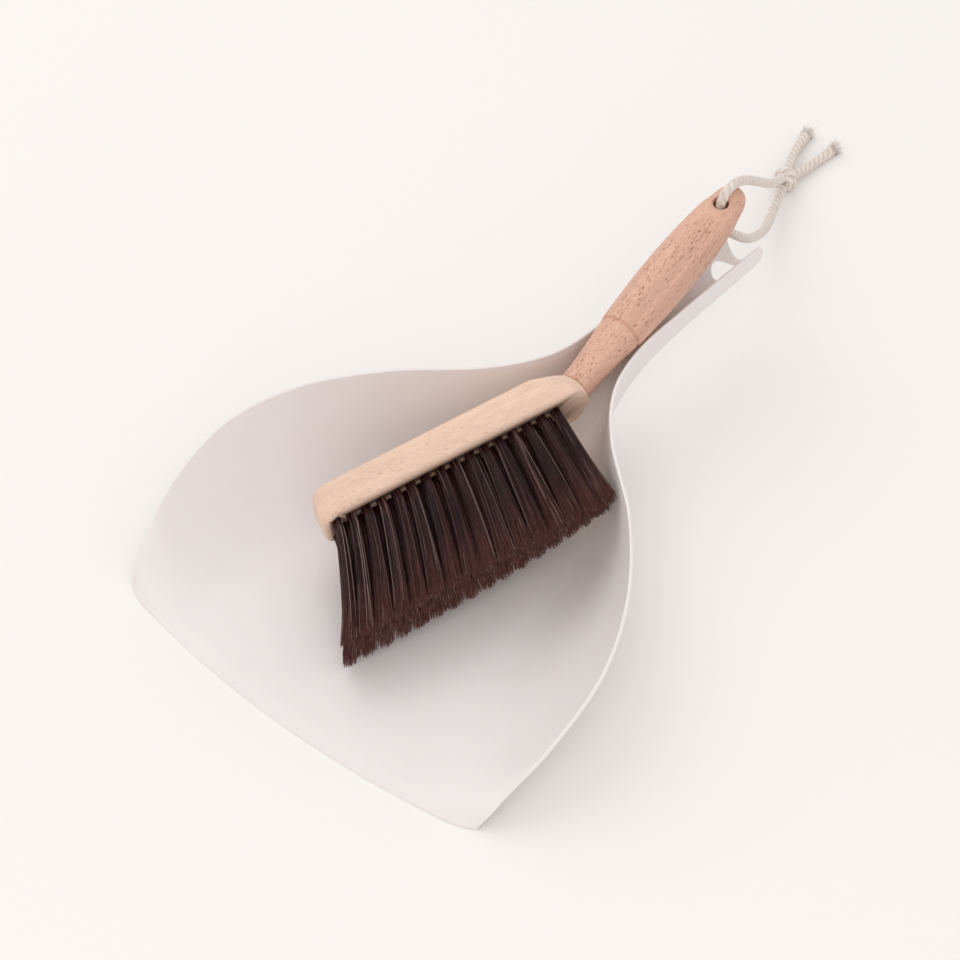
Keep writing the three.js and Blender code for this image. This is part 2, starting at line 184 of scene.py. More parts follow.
def make(name, points, faces, sharp=40, weld=0.0):
    """A mesh object at the origin from points in millimetres, its faces turned outwards."""
    points = np.asarray(points, float).reshape(-1, 3)
    if faces.shape[1] == 4 and volume(points, faces) < 0:
        faces = faces[:, ::-1]
    mesh = bpy.data.meshes.new(name)
    mesh.from_pydata(points * MM, [], faces.tolist())
    if weld:
        soft = bmesh.new()
        soft.from_mesh(mesh)
        bmesh.ops.remove_doubles(soft, verts=soft.verts, dist=weld * MM)
        bmesh.ops.dissolve_degenerate(soft, edges=soft.edges, dist=weld * MM / 2)
        soft.to_mesh(mesh)
        soft.free()
    smooth(mesh, sharp)
    piece = bpy.data.objects.new(name, mesh)
    bpy.context.scene.collection.objects.link(piece)
    return piece


def smooth(mesh, sharp):
    """Smooth shading, broken at edges sharper than the angle in degrees."""
    mesh.shade_smooth()
    mesh.set_sharp_from_angle(angle=math.radians(sharp))


def finish(piece, material, body, slot_name, *nodes):
    """Gives a piece its material and its body, and hides the CAD nodes that it stands for; slot_name is not
    used.
    """
    piece.data.materials.clear()
    piece.data.materials.append(material)
    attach(piece, body)
    if nodes:
        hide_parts(*nodes)
    return piece


def drilled(piece, cutter, sharp=35):
    """Cuts the cutter's shape out of the piece and removes the cutter."""
    cut = piece.modifiers.new("hole", "BOOLEAN")
    cut.operation, cut.solver, cut.object = "DIFFERENCE", "EXACT", cutter
    graph = bpy.context.evaluated_depsgraph_get()
    mesh = bpy.data.meshes.new_from_object(piece.evaluated_get(graph))
    piece.modifiers.clear()
    old, piece.data = piece.data, mesh
    mesh.name = piece.name
    bpy.data.meshes.remove(old)
    bpy.data.objects.remove(cutter)
    smooth(mesh, sharp)
    return piece


def lathe(profile, sides):
    """Points of a profile (radius, height) carried round the Y axis: (r sin u, a, r cos u)."""
    radius, height = np.asarray(profile, float).T
    turn = np.linspace(0, 2 * math.pi, sides, endpoint=False)
    return np.stack(
        [
            np.outer(radius, np.sin(turn)),
            np.repeat(height[:, None], sides, 1),
            np.outer(radius, np.cos(turn)),
        ],
        -1,
    )


def hermite(y, xs, values):
    """A smooth curve through the values, its slope at each the chord between its neighbours."""
    padded_x, padded_v = np.pad(xs, 1, "edge"), np.pad(values, 1, "edge")
    slope = (padded_v[2:] - padded_v[:-2]) / (padded_x[2:] - padded_x[:-2])
    i = np.clip(np.searchsorted(xs, y, "right") - 1, 0, len(xs) - 2)
    step = xs[i + 1] - xs[i]
    t = np.clip((y - xs[i]) / step, 0, 1)
    start = (2 * t**3 - 3 * t**2 + 1) * values[i] + (t**3 - 2 * t**2 + t) * step * slope[i]
    return start + (3 * t**2 - 2 * t**3) * values[i + 1] + (t**3 - t**2) * step * slope[i + 1]


def ease(x, low, high):
    """0 below low, 1 above high, and 6x^5 - 15x^4 + 10x^3 between."""
    x = np.clip((x - low) / (high - low), 0, 1)
    return x**3 * (x * (6 * x - 15) + 10)


def unit(v):
    """Vectors made one long."""
    return v / np.maximum(np.linalg.norm(v, axis=-1, keepdims=True), 1e-12)


# ---- Frames of the brush and its handle ----
def seam_in_brush(sizes):
    """The seam's centre in the brush's own frame."""
    return np.array([-sizes.axis_depth / MM, sizes.block_length / MM, 0])


def in_set(points, sizes):
    """From the brush's own frame to the set's: turned, with the seam's centre brought to SEAM_AT."""
    return (np.asarray(points) - seam_in_brush(sizes)) @ np.array(TURN).T + np.array(SEAM_AT)


def on_handle(points, sizes):
    """From the handle's frame, +Y along its axis from the seam, to the set's."""
    turn = np.array(Matrix.Rotation(BEND, 3, "Z"))
    return in_set(np.asarray(points) @ turn.T + seam_in_brush(sizes), sizes)


# ---- Materials ----
def node(tree, kind, at=None, **values):
    """A shader node with values for its inputs (by name, _ for a space) or its own settings."""
    made = tree.nodes.new("ShaderNode" + kind)
    for key, value in values.items():
        name = key.replace("_", " ")
        socket = next((s for s in made.inputs if s.name == name and s.enabled), None)
        if socket is None:
            setattr(made, key, value)
        elif isinstance(value, bpy.types.NodeSocket):
            tree.links.new(value, socket)
        else:
            socket.default_value = value
    return made


def maths(tree, operation, a, b=0.0, c=0.0, clamp=False):
    """A maths node's result; a, b and c are numbers or sockets."""
    made = tree.nodes.new("ShaderNodeMath")
    made.operation, made.use_clamp = operation, clamp
    for socket, value in zip(made.inputs, (a, b, c)):
        if isinstance(value, bpy.types.NodeSocket):
            tree.links.new(value, socket)
        else:
            socket.default_value = value
    return made.outputs[0]


def mix(tree, share, a, b, blend="MIX"):
    """Colour a turned towards colour b by a share."""
    made = tree.nodes.new("ShaderNodeMix")
    made.data_type, made.blend_type = "RGBA", blend
    for index, value in ((0, share), (6, a), (7, b)):
        if isinstance(value, bpy.types.NodeSocket):
            tree.links.new(value, made.inputs[index])
        else:
            made.inputs[index].default_value = value if index == 0 else (*value[:3], 1)
    return made.outputs[2]


def spread(tree, value, low, high, to_low=0.0, to_high=1.0):
    """A value's range low to high carried smoothly to another range."""
    made = tree.nodes.new("ShaderNodeMapRange")
    made.interpolation_type = "SMOOTHSTEP"
    tree.links.new(value, made.inputs[0])
    for socket, number in zip(list(made.inputs)[1:5], (low, high, to_low, to_high)):
        socket.default_value = number
    return made.outputs[0]


def group(name, inputs, outputs, build):
    """A shader node group with named inputs and outputs, built once."""
    if name in bpy.data.node_groups:
        return bpy.data.node_groups[name]
    tree = bpy.data.node_groups.new(name, "ShaderNodeTree")
    for label, kind, value in inputs:
        socket = tree.interface.new_socket(label, in_out="INPUT", socket_type="NodeSocket" + kind)
        if value is not None:
            socket.default_value = value
    for label, kind in outputs:
        tree.interface.new_socket(label, in_out="OUTPUT", socket_type="NodeSocket" + kind)
    start, end = tree.nodes.new("NodeGroupInput"), tree.nodes.new("NodeGroupOutput")
    for label, result in build(tree, start.outputs).items():
        tree.links.new(result, end.inputs[label])
    return tree


def use(tree, made, **values):
    """Places a node group in a material with its own values."""
    placed = tree.nodes.new("ShaderNodeGroup")
    placed.node_tree = made
    for key, value in values.items():
        socket = placed.inputs[key.replace("_", " ")]
        if isinstance(value, bpy.types.NodeSocket):
            tree.links.new(value, socket)
        else:
            socket.default_value = value
    return placed.outputs


def stretched(tree, vector, across, along):
    """Noise that runs along Y: its features are 1/across wide and 1/along long."""
    turned = node(tree, "Mapping", Vector=vector, Scale=(across, along, across))
    noise = node(tree, "TexNoise", Vector=turned.outputs[0], Scale=1.0, Detail=3.0, Roughness=0.55)
    return noise.outputs[0]


def build_grain(tree, given):
    """Wood along Y: broad bands of tone, fine fibre, and short dark flecks where a noise is highest."""
    vector = given["Vector"]
    band = spread(tree, stretched(tree, vector, 110, 7), 0.3, 0.7)
    fibre = spread(tree, stretched(tree, vector, 1900, 90), 0.25, 0.75)
    flecks = stretched(tree, vector, 2100, 330)
    patch = stretched(tree, vector, 160, 40)
    mask = spread(tree, maths(tree, "ADD", flecks, maths(tree, "MULTIPLY", patch, 0.25)), 0.7, 0.81)
    mask = maths(tree, "MULTIPLY", mask, given["Flecks"], clamp=True)
    height = maths(tree, "SUBTRACT", maths(tree, "MULTIPLY", fibre, 0.25), mask)
    return {"Band": band, "Fibre": fibre, "Flecks": mask, "Height": height}


def build_dimples(tree, given):
    """Faint waviness of a moulding, and fine grain on top, as a height; and a patchy gloss mask."""
    wave = node(tree, "TexNoise", Vector=given["Vector"], Scale=45.0, Detail=2.0).outputs[0]
    fine = node(tree, "TexNoise", Vector=given["Vector"], Scale=1400.0, Detail=2.0).outputs[0]
    rub = node(tree, "TexNoise", Vector=given["Vector"], Scale=14.0, Detail=6.0, Roughness=0.65)
    height = maths(tree, "ADD", wave, maths(tree, "MULTIPLY", fine, given["Fine"]))
    return {"Height": height, "Rub": spread(tree, rub.outputs[0], 0.35, 0.65)}


def build_strands(tree, given):
    """Cotton yarn from a map whose U goes round the cord and V along it: fine threads, fluff and soil."""
    threads = node(tree, "Mapping", Vector=given["Map"], Scale=(26.0, 3.0, 1.0))
    thread = node(tree, "TexNoise", Vector=threads.outputs[0], Scale=1.0, Detail=4.0).outputs[0]
    fluff = node(tree, "TexNoise", Vector=given["Vector"], Scale=2600.0, Detail=3.0).outputs[0]
    soil = node(tree, "TexNoise", Vector=given["Vector"], Scale=150.0, Detail=3.0).outputs[0]
    height = maths(tree, "ADD", thread, maths(tree, "MULTIPLY", fluff, 0.35))
    return {"Thread": spread(tree, thread, 0.3, 0.7), "Height": height, "Soil": spread(tree, soil, 0.35, 0.7)}


def grain():
    """The wood group."""
    return group(
        "Wood grain",
        [("Vector", "Vector", None), ("Flecks", "Float", 1.0)],
        [("Band", "Float"), ("Fibre", "Float"), ("Flecks", "Float"), ("Height", "Float")],
        build_grain,
    )


def start_material(name):
    """A material and its tree, Principled shader and Object coordinates."""
    material = bpy.data.materials.new(name)
    material.use_nodes = True
    tree = material.node_tree
    shader = tree.nodes["Principled BSDF"]
    place = tree.nodes.new("ShaderNodeTexCoord").outputs["Object"]
    return material, tree, shader, place


def bump(tree, shader, height, strength, distance):
    """A bump of that height in metres on the shader's normal."""
    made = node(tree, "Bump", Height=height, Strength=strength, Distance=distance)
    tree.links.new(made.outputs[0], shader.inputs["Normal"])


def wood(name, colour, turn, flecks, contrast):
    """Sanded wood whose grain runs along the local Y of a turned piece, with painted shade on the block's
    bristle face among the tufts.
    """
    tints = bpy.context.scene.finishes
    material, tree, shader, place = start_material(name)
    turned = node(tree, "Mapping", Vector=place)
    turned.inputs["Rotation"].default_value = turn.transposed().to_euler("XYZ")
    look = use(tree, grain(), Vector=turned.outputs[0], Flecks=flecks)
    base = np.array(colour)
    deep, light = base * (1 - contrast), np.minimum(base * (1 + 0.35 * contrast), 0.95)
    shade = mix(tree, look["Band"], deep, light)
    shade = mix(tree, maths(tree, "MULTIPLY", look["Fibre"], 0.6), shade, base * (0.8, 0.72, 0.66))
    shade = mix(tree, look["Flecks"], shade, tints.pore)
    # painted shade: the bristle face between the tuft roots is darkened, standing in for the shadow of the
    # dense tufts
    roots = node(tree, "Attribute", attribute_name="roots").outputs["Fac"]
    shade = mix(tree, maths(tree, "MULTIPLY", roots, 0.8), shade, base * (0.22, 0.15, 0.12))
    tree.links.new(shade, shader.inputs["Base Color"])
    tree.links.new(spread(tree, look["Fibre"], 0, 1, 0.5, 0.66), shader.inputs["Roughness"])
    shader.inputs["Specular IOR Level"].default_value = 0.4
    bump(tree, shader, look["Height"], 0.35, 0.0003)
    return material


def pan_material():
    """Moulded cream plastic with a satin gloss, faintly wavy, a little rubbed inside, with painted warm
    bounce light from the wooden brush inside its throat.
    """
    tints = bpy.context.scene.finishes
    material, tree, shader, place = start_material("pan plastic")
    made = group(
        "Moulding",
        [("Vector", "Vector", None), ("Fine", "Float", 0.02)],
        [("Height", "Float"), ("Rub", "Float")],
        build_dimples,
    )
    look = use(tree, made, Vector=place, Fine=0.02)
    base = np.array(tints.plastic)
    shade = mix(tree, look["Rub"], base * 0.985, np.minimum(base * 1.01, 1))
    inside = node(tree, "Attribute", attribute_name="inside").outputs["Fac"]
    along = node(tree, "SeparateXYZ", Vector=place).outputs["Y"]
    # painted bounce light: the throat's inner face is tinted warm where the wooden brush would throw light
    # onto it
    throat = maths(tree, "MULTIPLY", spread(tree, along, 0.02, 0.12), inside)
    throat = maths(tree, "MULTIPLY", spread(tree, along, 0.15, 0.24, 1.0, 0.25), throat)
    shade = mix(tree, throat, shade, tints.throat_bounce_light)
    tree.links.new(shade, shader.inputs["Base Color"])
    tree.links.new(spread(tree, look["Rub"], 0, 1, 0.36, 0.44), shader.inputs["Roughness"])
    shader.inputs["Subsurface Weight"].default_value = 0.08
    shader.inputs["Subsurface Radius"].default_value = (1.0, 0.6, 0.4)
    shader.inputs["Subsurface Scale"].default_value = 0.002
    bump(tree, shader, look["Height"], 0.12, 0.0004)
    return material


def hair_material():
    """Dark brown bristle, redder and paler towards its free end, each hair a little different."""
    tints = bpy.context.scene.finishes
    material, tree, shader, place = start_material("bristle")
    along = node(tree, "Attribute", attribute_name="along").outputs["Fac"]
    shade = node(tree, "Attribute", attribute_name="shade").outputs["Fac"]
    tip = spread(tree, maths(tree, "ADD", along, maths(tree, "MULTIPLY", shade, 0.35)), 0.55, 1.25)
    colour = mix(tree, tip, tints.hair, tints.hair_tip)
    stray = spread(tree, shade, 0.6, 0.85, 0.0, 0.6)
    colour = mix(tree, stray, colour, np.array(tints.hair_tip) * 1.25)
    colour = mix(tree, spread(tree, shade, 0.92, 0.97), colour, (0.38, 0.25, 0.22))
    fleck = node(tree, "TexNoise", Vector=place, Scale=900.0, Detail=2.0).outputs[0]
    colour = mix(tree, maths(tree, "MULTIPLY", fleck, 0.4), colour, np.array(tints.hair) * 0.6)
    tree.links.new(colour, shader.inputs["Base Color"])
    tree.links.new(spread(tree, along, 0.5, 1.0, 0.34, 0.6), shader.inputs["Roughness"])
    shader.inputs["Specular IOR Level"].default_value = 0.4
    return material


def cotton_material():
    """Undyed twisted cotton, fluffy, with painted shade in the furrows between its strands."""
    tints = bpy.context.scene.finishes
    material, tree, shader, place = start_material("cotton cord")
    made = group(
        "Cotton strands",
        [("Vector", "Vector", None), ("Map", "Vector", None)],
        [("Thread", "Float"), ("Height", "Float"), ("Soil", "Float")],
        build_strands,
    )
    uv = node(tree, "UVMap", uv_map="lay").outputs[0]
    look = use(tree, made, Vector=place, Map=uv)
    furrow = node(tree, "Attribute", attribute_name="furrow").outputs["Fac"]
    base = np.array(tints.cotton)
    shade = mix(tree, look["Thread"], base * (0.8, 0.76, 0.72), np.minimum(base * 1.12, 0.95))
    shade = mix(tree, maths(tree, "MULTIPLY", look["Soil"], 0.3), shade, base * (0.85, 0.74, 0.62))
    # painted shade in the furrows between strands; on the loose threads the same value is a random tone
    shade = mix(tree, maths(tree, "MULTIPLY", furrow, 0.65), shade, base * (0.42, 0.34, 0.28))
    tree.links.new(shade, shader.inputs["Base Color"])
    shader.inputs["Roughness"].default_value = 0.95
    shader.inputs["Sheen Weight"].default_value = 0.35
    shader.inputs["Sheen Roughness"].default_value = 0.5
    shader.inputs["Specular IOR Level"].default_value = 0.15
    bump(tree, shader, look["Height"], 0.6, 0.0004)
    return material


# ---- Pan ----
def pan_outer(s, t, pan):
    """The pan's outer surface, s from lip to handle end and t across: at each station the floor is flat
    for a share of its width, and the wall is a circular arc from there up to the rim."""
    length = pan.length / MM
    y = length * s**ALONG_POWER
    side = np.abs(t)
    reach, rim, flat, steep = (hermite(y, STATIONS[:, 0], STATIONS[:, n]) for n in (1, 2, 3, 4))
    steep = np.radians(steep)
    bottom = FLOOR_RISE * ease(y, FLOOR_FLAT, FLOOR_RISE_END)
    turn = steep * np.maximum(0, (side - flat) / (1 - flat))
    x = np.minimum(side, flat) * reach + reach * (1 - flat) * np.sin(turn) / np.sin(steep)
    z = bottom + np.maximum(rim - bottom, 0) * (1 - np.cos(turn)) / (1 - np.cos(steep))
    bow = pan.lip_bow / MM * (1 - side**2) * (1 - ease(y, 0, 150))
    corner = CORNER_ROUND * side**20 * (1 - ease(y, 0, 40))
    end = END_ROUND * side**8 * ease(y, length - 30, length)
    return np.stack([np.sign(t) * x, y - bow + corner - end + LIP_Y, z], -1)


def pan_shell(pan):
    """Both faces of the pan's wall in one closed grid. The wall stands up from the outer surface along
    its normal, and near a free edge its half thickness h follows a half circle: h^2 = r^2 - (r - d)^2,
    d from the edge."""
    wall, edge = pan.wall / MM, pan.lip_edge / MM
    rows, columns, round_steps = 150, 110, np.array([0, 0.06, 0.22, 0.5])
    length = pan.length / MM
    near_end = 1 - round_steps * (wall / 2) / (ALONG_POWER * length)
    s = np.concatenate([[0, 2e-4, 6e-4], np.linspace(0.0015, near_end[-1], rows), near_end[-2::-1]])
    step = 1e-3
    rim = pan_outer(s, np.ones_like(s), pan) - pan_outer(s, np.full_like(s, 1 - step), pan)
    per_t = np.maximum(np.linalg.norm(rim, axis=-1) / step, 1)
    share = (wall / 2) / per_t
    middle = np.linspace(-1, 1, columns)[None] * (1 - share)[:, None]
    right = 1 - share[:, None] * round_steps[::-1][None]
    t = np.concatenate([-right[:, ::-1], middle[:, 1:-1], right], 1)
    s = np.repeat(s[:, None], t.shape[1], 1)
    outer = pan_outer(s, t, pan)
    ds = pan_outer(np.minimum(s + step, 1), t, pan) - pan_outer(np.maximum(s - step, 0), t, pan)
    dt = pan_outer(s, np.minimum(t + step, 1), pan) - pan_outer(s, np.maximum(t - step, -1), pan)
    up = unit(np.cross(dt, ds))
    behind = outer[..., 1] - pan_outer(np.zeros_like(t), t, pan)[..., 1]
    half = (edge + (wall - edge) * ease(behind, 0, pan.lip_feather / MM)) / 2
    to_side = (1 - np.abs(t)) * per_t[:, None]
    to_end = (1 - s) * ALONG_POWER * length
    inset = np.clip(np.minimum(np.minimum(to_side, to_end), behind) / half, 0, 1)
    height = half * np.sqrt(1 - (1 - inset) ** 2)
    centre = outer + up * half[..., None]
    low, high = centre - up * height[..., None], centre + up * height[..., None]
    return np.concatenate([low, high[:, ::-1]], 1)


def inner_side(mesh):
    """1 on the wall's inner face, 0 on its rim and its outer face: the normal looks up or towards the
    centre line, and the point lies some millimetres below the rim's height at that station."""
    at, out = np.empty(len(mesh.vertices) * 3), np.empty(len(mesh.vertices) * 3)
    mesh.vertices.foreach_get("co", at)
    mesh.vertices.foreach_get("normal", out)
    at, out = at.reshape(-1, 3), out.reshape(-1, 3)
    rim = hermite(at[:, 1] / MM - LIP_Y, STATIONS[:, 0], STATIONS[:, 2])
    facing = ease(out[:, 2] * 0.5 - np.sign(at[:, 0]) * out[:, 0], -0.1, 0.1)
    return facing * ease(rim - at[:, 2] / MM, 0.5, 5)


class DUSTPAN_OT_pan(bpy.types.Operator):
    """Make the dust pan: scoop and handle channel in one moulding, with its hanging hole"""

    bl_idname = "dustpan.pan"
    bl_label = "Dust Pan"

    def execute(self, context):
        pan = context.scene.pan_sizes
        points = pan_shell(pan)
        shell = make("pan", points, grid_faces(*points.shape[:2], wrap=True), weld=0.004)
        radius = pan.hole_radius / MM
        bit = lathe([(0, -30), (radius, -30), (radius, 30), (0, 30)], 96)[..., (0, 2, 1)]
        bit = bit + (0, LIP_Y + (pan.length - pan.hole_inset) / MM, FLOOR_RISE)
        cutter = make("drill", bit, grid_faces(4, 96, wrap=True), weld=0.001)
        drilled(shell, cutter)
        # marks the inner face, where the pan's material paints the throat's bounce light
        attribute(shell, "inside", inner_side(shell.data))
        finish(shell, pan_material(), "dustpan", "pan_plastic", "dust_pan")
        return {"FINISHED"}


# ---- Brush ----
def near_roots(mesh, sizes):
    """1 at the points of the block's bristle face that lie between the outer rows' holes, else 0; the block's
    wood paints shade there.
    """
    at = np.empty(len(mesh.vertices) * 3)
    mesh.vertices.foreach_get("co", at)
    own = (at.reshape(-1, 3) / MM - np.array(SEAM_AT)) @ np.array(TURN) + seam_in_brush(sizes)
    first, last = BRISTLE_FIELD
    inside = (np.abs(own[:, 2]) < ROW_PITCH + FIELD_MARGIN) & (own[:, 1] > first) & (own[:, 1] < last)
    return ((own[:, 0] > -FIELD_DEPTH) & inside).astype(float)


class DUSTPAN_OT_block(bpy.types.Operator):
    """Make the brush's wooden block from its CAD solid, with smooth eased edges"""

    bl_idname = "dustpan.block"
    bl_label = "Brush Block"

    def execute(self, context):
        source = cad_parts["brush_block"]
        mesh = source.data.copy()
        solid = bmesh.new()
        solid.from_mesh(mesh)
        bmesh.ops.remove_doubles(solid, verts=solid.verts, dist=1e-6)
        solid.to_mesh(mesh)
        solid.free()
        block = bpy.data.objects.new("block", mesh)
        context.scene.collection.objects.link(block)
        # marks where the wood's material paints shade among the tufts
        attribute(block, "roots", near_roots(mesh, context.scene.brush_sizes))
        smooth(mesh, 38)
        even = block.modifiers.new("even shading", "WEIGHTED_NORMAL")
        even.keep_sharp = True
        colour = context.scene.finishes.block
        material = wood("block wood", colour, TURN, 0.35, 0.12)
        finish(block, material, "brush", "beech", "brush_block")
        return {"FINISHED"}


def handle_profile(brush):
    """The handle's outline as (radius, distance from the seam): tenon, neck, groove and grip, each
    between its corners on a smooth curve; the tip closes on the axis at a right angle."""
    neck, grip = brush.neck_radius / MM, brush.grip_radius / MM
    ring, length = brush.ring_at / MM, brush.handle_length / MM
    tenon = [(0, -TENON_LENGTH), (TENON_RADIUS, -TENON_LENGTH), (TENON_RADIUS, 0.3)]
    tenon.append((neck - 0.35, 0.3))
    a = np.array([0.55, 10, 20, ring - 8, ring - 1.5])
    r = neck + np.array([0, 0.2, 1, 2, 2.8])
    fine = np.linspace(a[0], a[-1], 40)
    rise = np.stack([hermite(fine, a, r), fine], 1)
    turn = np.linspace(0, math.pi, 12)[1:]
    groove = np.stack([neck + 2.8 - 0.75 * np.sin(turn), ring - 1.5 + 1.5 * turn / math.pi], 1)
    share = np.array([0, 0.13, 0.26, 0.4, 0.55, 0.69, 0.81])
    a = np.append(ring + 0.9 + share * (length - ring - 0.9), length - 14)
    r = grip - np.array([1.45, 0.8, 0.2, 0, 0.3, 1.1, 2.3, 3.6])
    a = np.append(a, [length - 7, length - 2.6, length - 0.6, length])
    r = np.append(r, [grip - 4.9, 6.1, 3.2, 0])
    # the grip as one parametric curve, its parameter the distance from point to point
    way = np.concatenate([[0], np.cumsum(np.hypot(np.diff(a), np.diff(r)))])
    fine = np.linspace(0, way[-1], 150)
    body = np.stack([np.maximum(hermite(fine, way, r), 0), hermite(fine, way, a)], 1)
    body[-1, 0] = 0
    shoulder = [(grip - 2.1, ring + 0.1), (grip - 1.65, ring + 0.4)]
    return np.concatenate([tenon, rise, groove, shoulder, body])


class DUSTPAN_OT_handle(bpy.types.Operator):
    """Make the turned handle with its groove, tip and cord hole"""

    bl_idname = "dustpan.handle"
    bl_label = "Brush Handle"

    def execute(self, context):
        brush = context.scene.brush_sizes
        profile = handle_profile(brush)
        points = on_handle(lathe(profile, 96), brush)
        handle = make("handle", points, grid_faces(len(profile), 96, wrap=True), weld=0.002)
        hole, wide = brush.hole_radius / MM, 12
        quarter = np.linspace(0, math.pi / 2, 6)
        flare = HOLE_FLARE * (1 - np.cos(quarter))
        rim = HOLE_STRAIGHT + HOLE_ROUND * np.sin(quarter)
        side = np.stack([hole + flare, rim], 1)
        bit = [(0, 20), (hole + wide, 20), *side[::-1], *(side * (1, -1)), (hole + wide, -20), (0, -20)]
        bit = lathe(bit, 48)[..., (0, 2, 1)] + (0, (brush.handle_length - brush.hole_from_tip) / MM, 0)
        faces = grid_faces(bit.shape[0], 48, wrap=True)
        drilled(handle, make("drill", on_handle(bit, brush), faces, weld=0.001))
        turn = TURN @ Matrix.Rotation(BEND, 3, "Z")
        material = wood("grip wood", context.scene.finishes.grip, turn, 1.0, 0.2)
        finish(handle, material, "brush", "grip_wood", "brush_handle")
        return {"FINISHED"}


def attribute(piece, name, values):
    """Stores one number for each point."""
    made = piece.data.attributes.new(name, "FLOAT", "POINT")
    made.data.foreach_set("value", np.asarray(values, np.float32).ravel())


def hairs(brush, row, index, seed):
    """The bristles of one tuft as three-sided tubes, in the brush's frame. A bristle keeps its place
    (p, q) in the tuft's unit disc: y = centre(x) + p R(x), z = middle(x) + q R(x), where R grows from
    the root to the tip, with a slight bow and drift of its own; the clumps gather halfway along."""
    rng = np.random.default_rng(seed)
    count, rings = brush.hairs, 8
    across = row - 1
    step = index + (0.5 if row == 1 else 0)
    root, tip = TUFT_FIRST + TUFT_PITCH * step, TIP_FIRST + TIP_PITCH * step
    length = brush.bristle_length / MM + FREE_END_EXTRA * (1 - step / LAST_TUFT)
    near_wall = (step / LAST_TUFT) ** 3
    length = length - ROW_STEP * (2 - row) * near_wall
    distance, angle = np.sqrt(rng.random(count)), rng.random(count) * 2 * math.pi
    p, q = distance * np.cos(angle), distance * np.sin(angle)
    reach = length + 0.6 - TIP_UNEVEN * rng.random(count) ** 1.8 - 0.8 * distance**2
    clump = rng.integers(0, CLUMPS, count)
    turn = clump * 2 * math.pi / CLUMPS + rng.random()
    pull = 0.7 * rng.random(CLUMPS)[clump]
    share = np.linspace(0, 1, rings) ** 0.9
    x = HAIR_START + share[None] * (reach[:, None] - HAIR_START)
    u = np.clip(x / length, 0, 1)
    centre = root + (tip - root) * (0.75 * u + 0.25 * u**2)
    sag = LOW_SPLAY * (1 - near_wall) * (1 - row / 2)
    middle = across * (ROW_PITCH + (TIP_ROW_PITCH - ROW_PITCH) * u) - sag * u
    first, last = brush.tuft_radius / MM, brush.tuft_tip_radius / MM
    radius = first * 0.95 + (last - first) * u**0.95
    drift = rng.normal(0, 0.36, (2, count, 1)) * u**1.5
    gather = pull[:, None] * np.sin(math.pi * np.minimum(u * 1.1, 1))
    p = p[:, None] * (1 - gather) + 0.6 * np.cos(turn)[:, None] * gather
    q = q[:, None] * (1 - gather) + 0.6 * np.sin(turn)[:, None] * gather
    bow = rng.normal(0, 0.3, (2, count, 1)) * np.sin(math.pi * u)
    y = centre + p * radius + drift[0] + bow[0]
    z = middle + q * radius + drift[1] + bow[1]
    thick = brush.hair_radius / MM * (1.1 - 0.35 * u) * (0.8 + 0.4 * rng.random((count, 1)))
    corner = rng.random(count)[:, None] * 2 + np.arange(3) * 2 * math.pi / 3
    ring_y = y[..., None] + thick[..., None] * np.cos(corner)[:, None]
    ring_z = z[..., None] + thick[..., None] * np.sin(corner)[:, None]
    points = np.stack([np.repeat(x[..., None], 3, -1), ring_y, ring_z], -1)
    tone = np.broadcast_to(rng.random((count, 1, 1)), points.shape[:3])
    along = np.broadcast_to(u[..., None], points.shape[:3])
    return points, tone, along


def tube_faces(count, rings, sides):
    """Quads of many separate tubes, each rings by sides, and the faces that close their ends."""
    one = grid_faces(rings, sides, wrap=True)
    start = np.arange(count)[:, None, None] * rings * sides
    quads = (one[None] + start).reshape(-1, 4)
    ends = np.stack([np.arange(sides)[::-1], (rings - 1) * sides + np.arange(sides)])
    return quads, (ends[None] + start).reshape(-1, sides)


def threads_mesh(name, points):
    """An object of many closed thin tubes from points (tube, ring, side, xyz)."""
    count, rings, sides = points.shape[:3]
    quads, ends = tube_faces(count, rings, sides)
    flat = points.reshape(-1, 3)
    if volume(flat, quads) < 0:
        quads, ends = quads[:, ::-1], ends[:, ::-1]
    mesh = bpy.data.meshes.new(name)
    mesh.from_pydata(flat * MM, [], quads.tolist() + ends.tolist())
    mesh.shade_smooth()
    piece = bpy.data.objects.new(name, mesh)
    bpy.context.scene.collection.objects.link(piece)
    return piece


class DUSTPAN_OT_tufts(bpy.types.Operator):
    """Make the bristle tufts, one piece for each hole in the block"""

    bl_idname = "dustpan.tufts"
    bl_label = "Bristle Tufts"

    def execute(self, context):
        brush = context.scene.brush_sizes
        floor = context.scene.pan_sizes.wall / MM + 0.3
        material = hair_material()
        for letter, (row, count) in ROWS.items():
            for index in range(count):
                points, tone, along = hairs(brush, row, index, 100 * row + index)
                points = in_set(points, brush)
                points[..., 2] = np.maximum(points[..., 2], floor)
                name = f"{letter}{index + 1:02d}"
                tuft = threads_mesh("hair_" + name, points)
                attribute(tuft, "shade", tone)
                attribute(tuft, "along", along)
                finish(tuft, material, "brush", "bristle", "tuft_" + name)
        return {"FINISHED"}


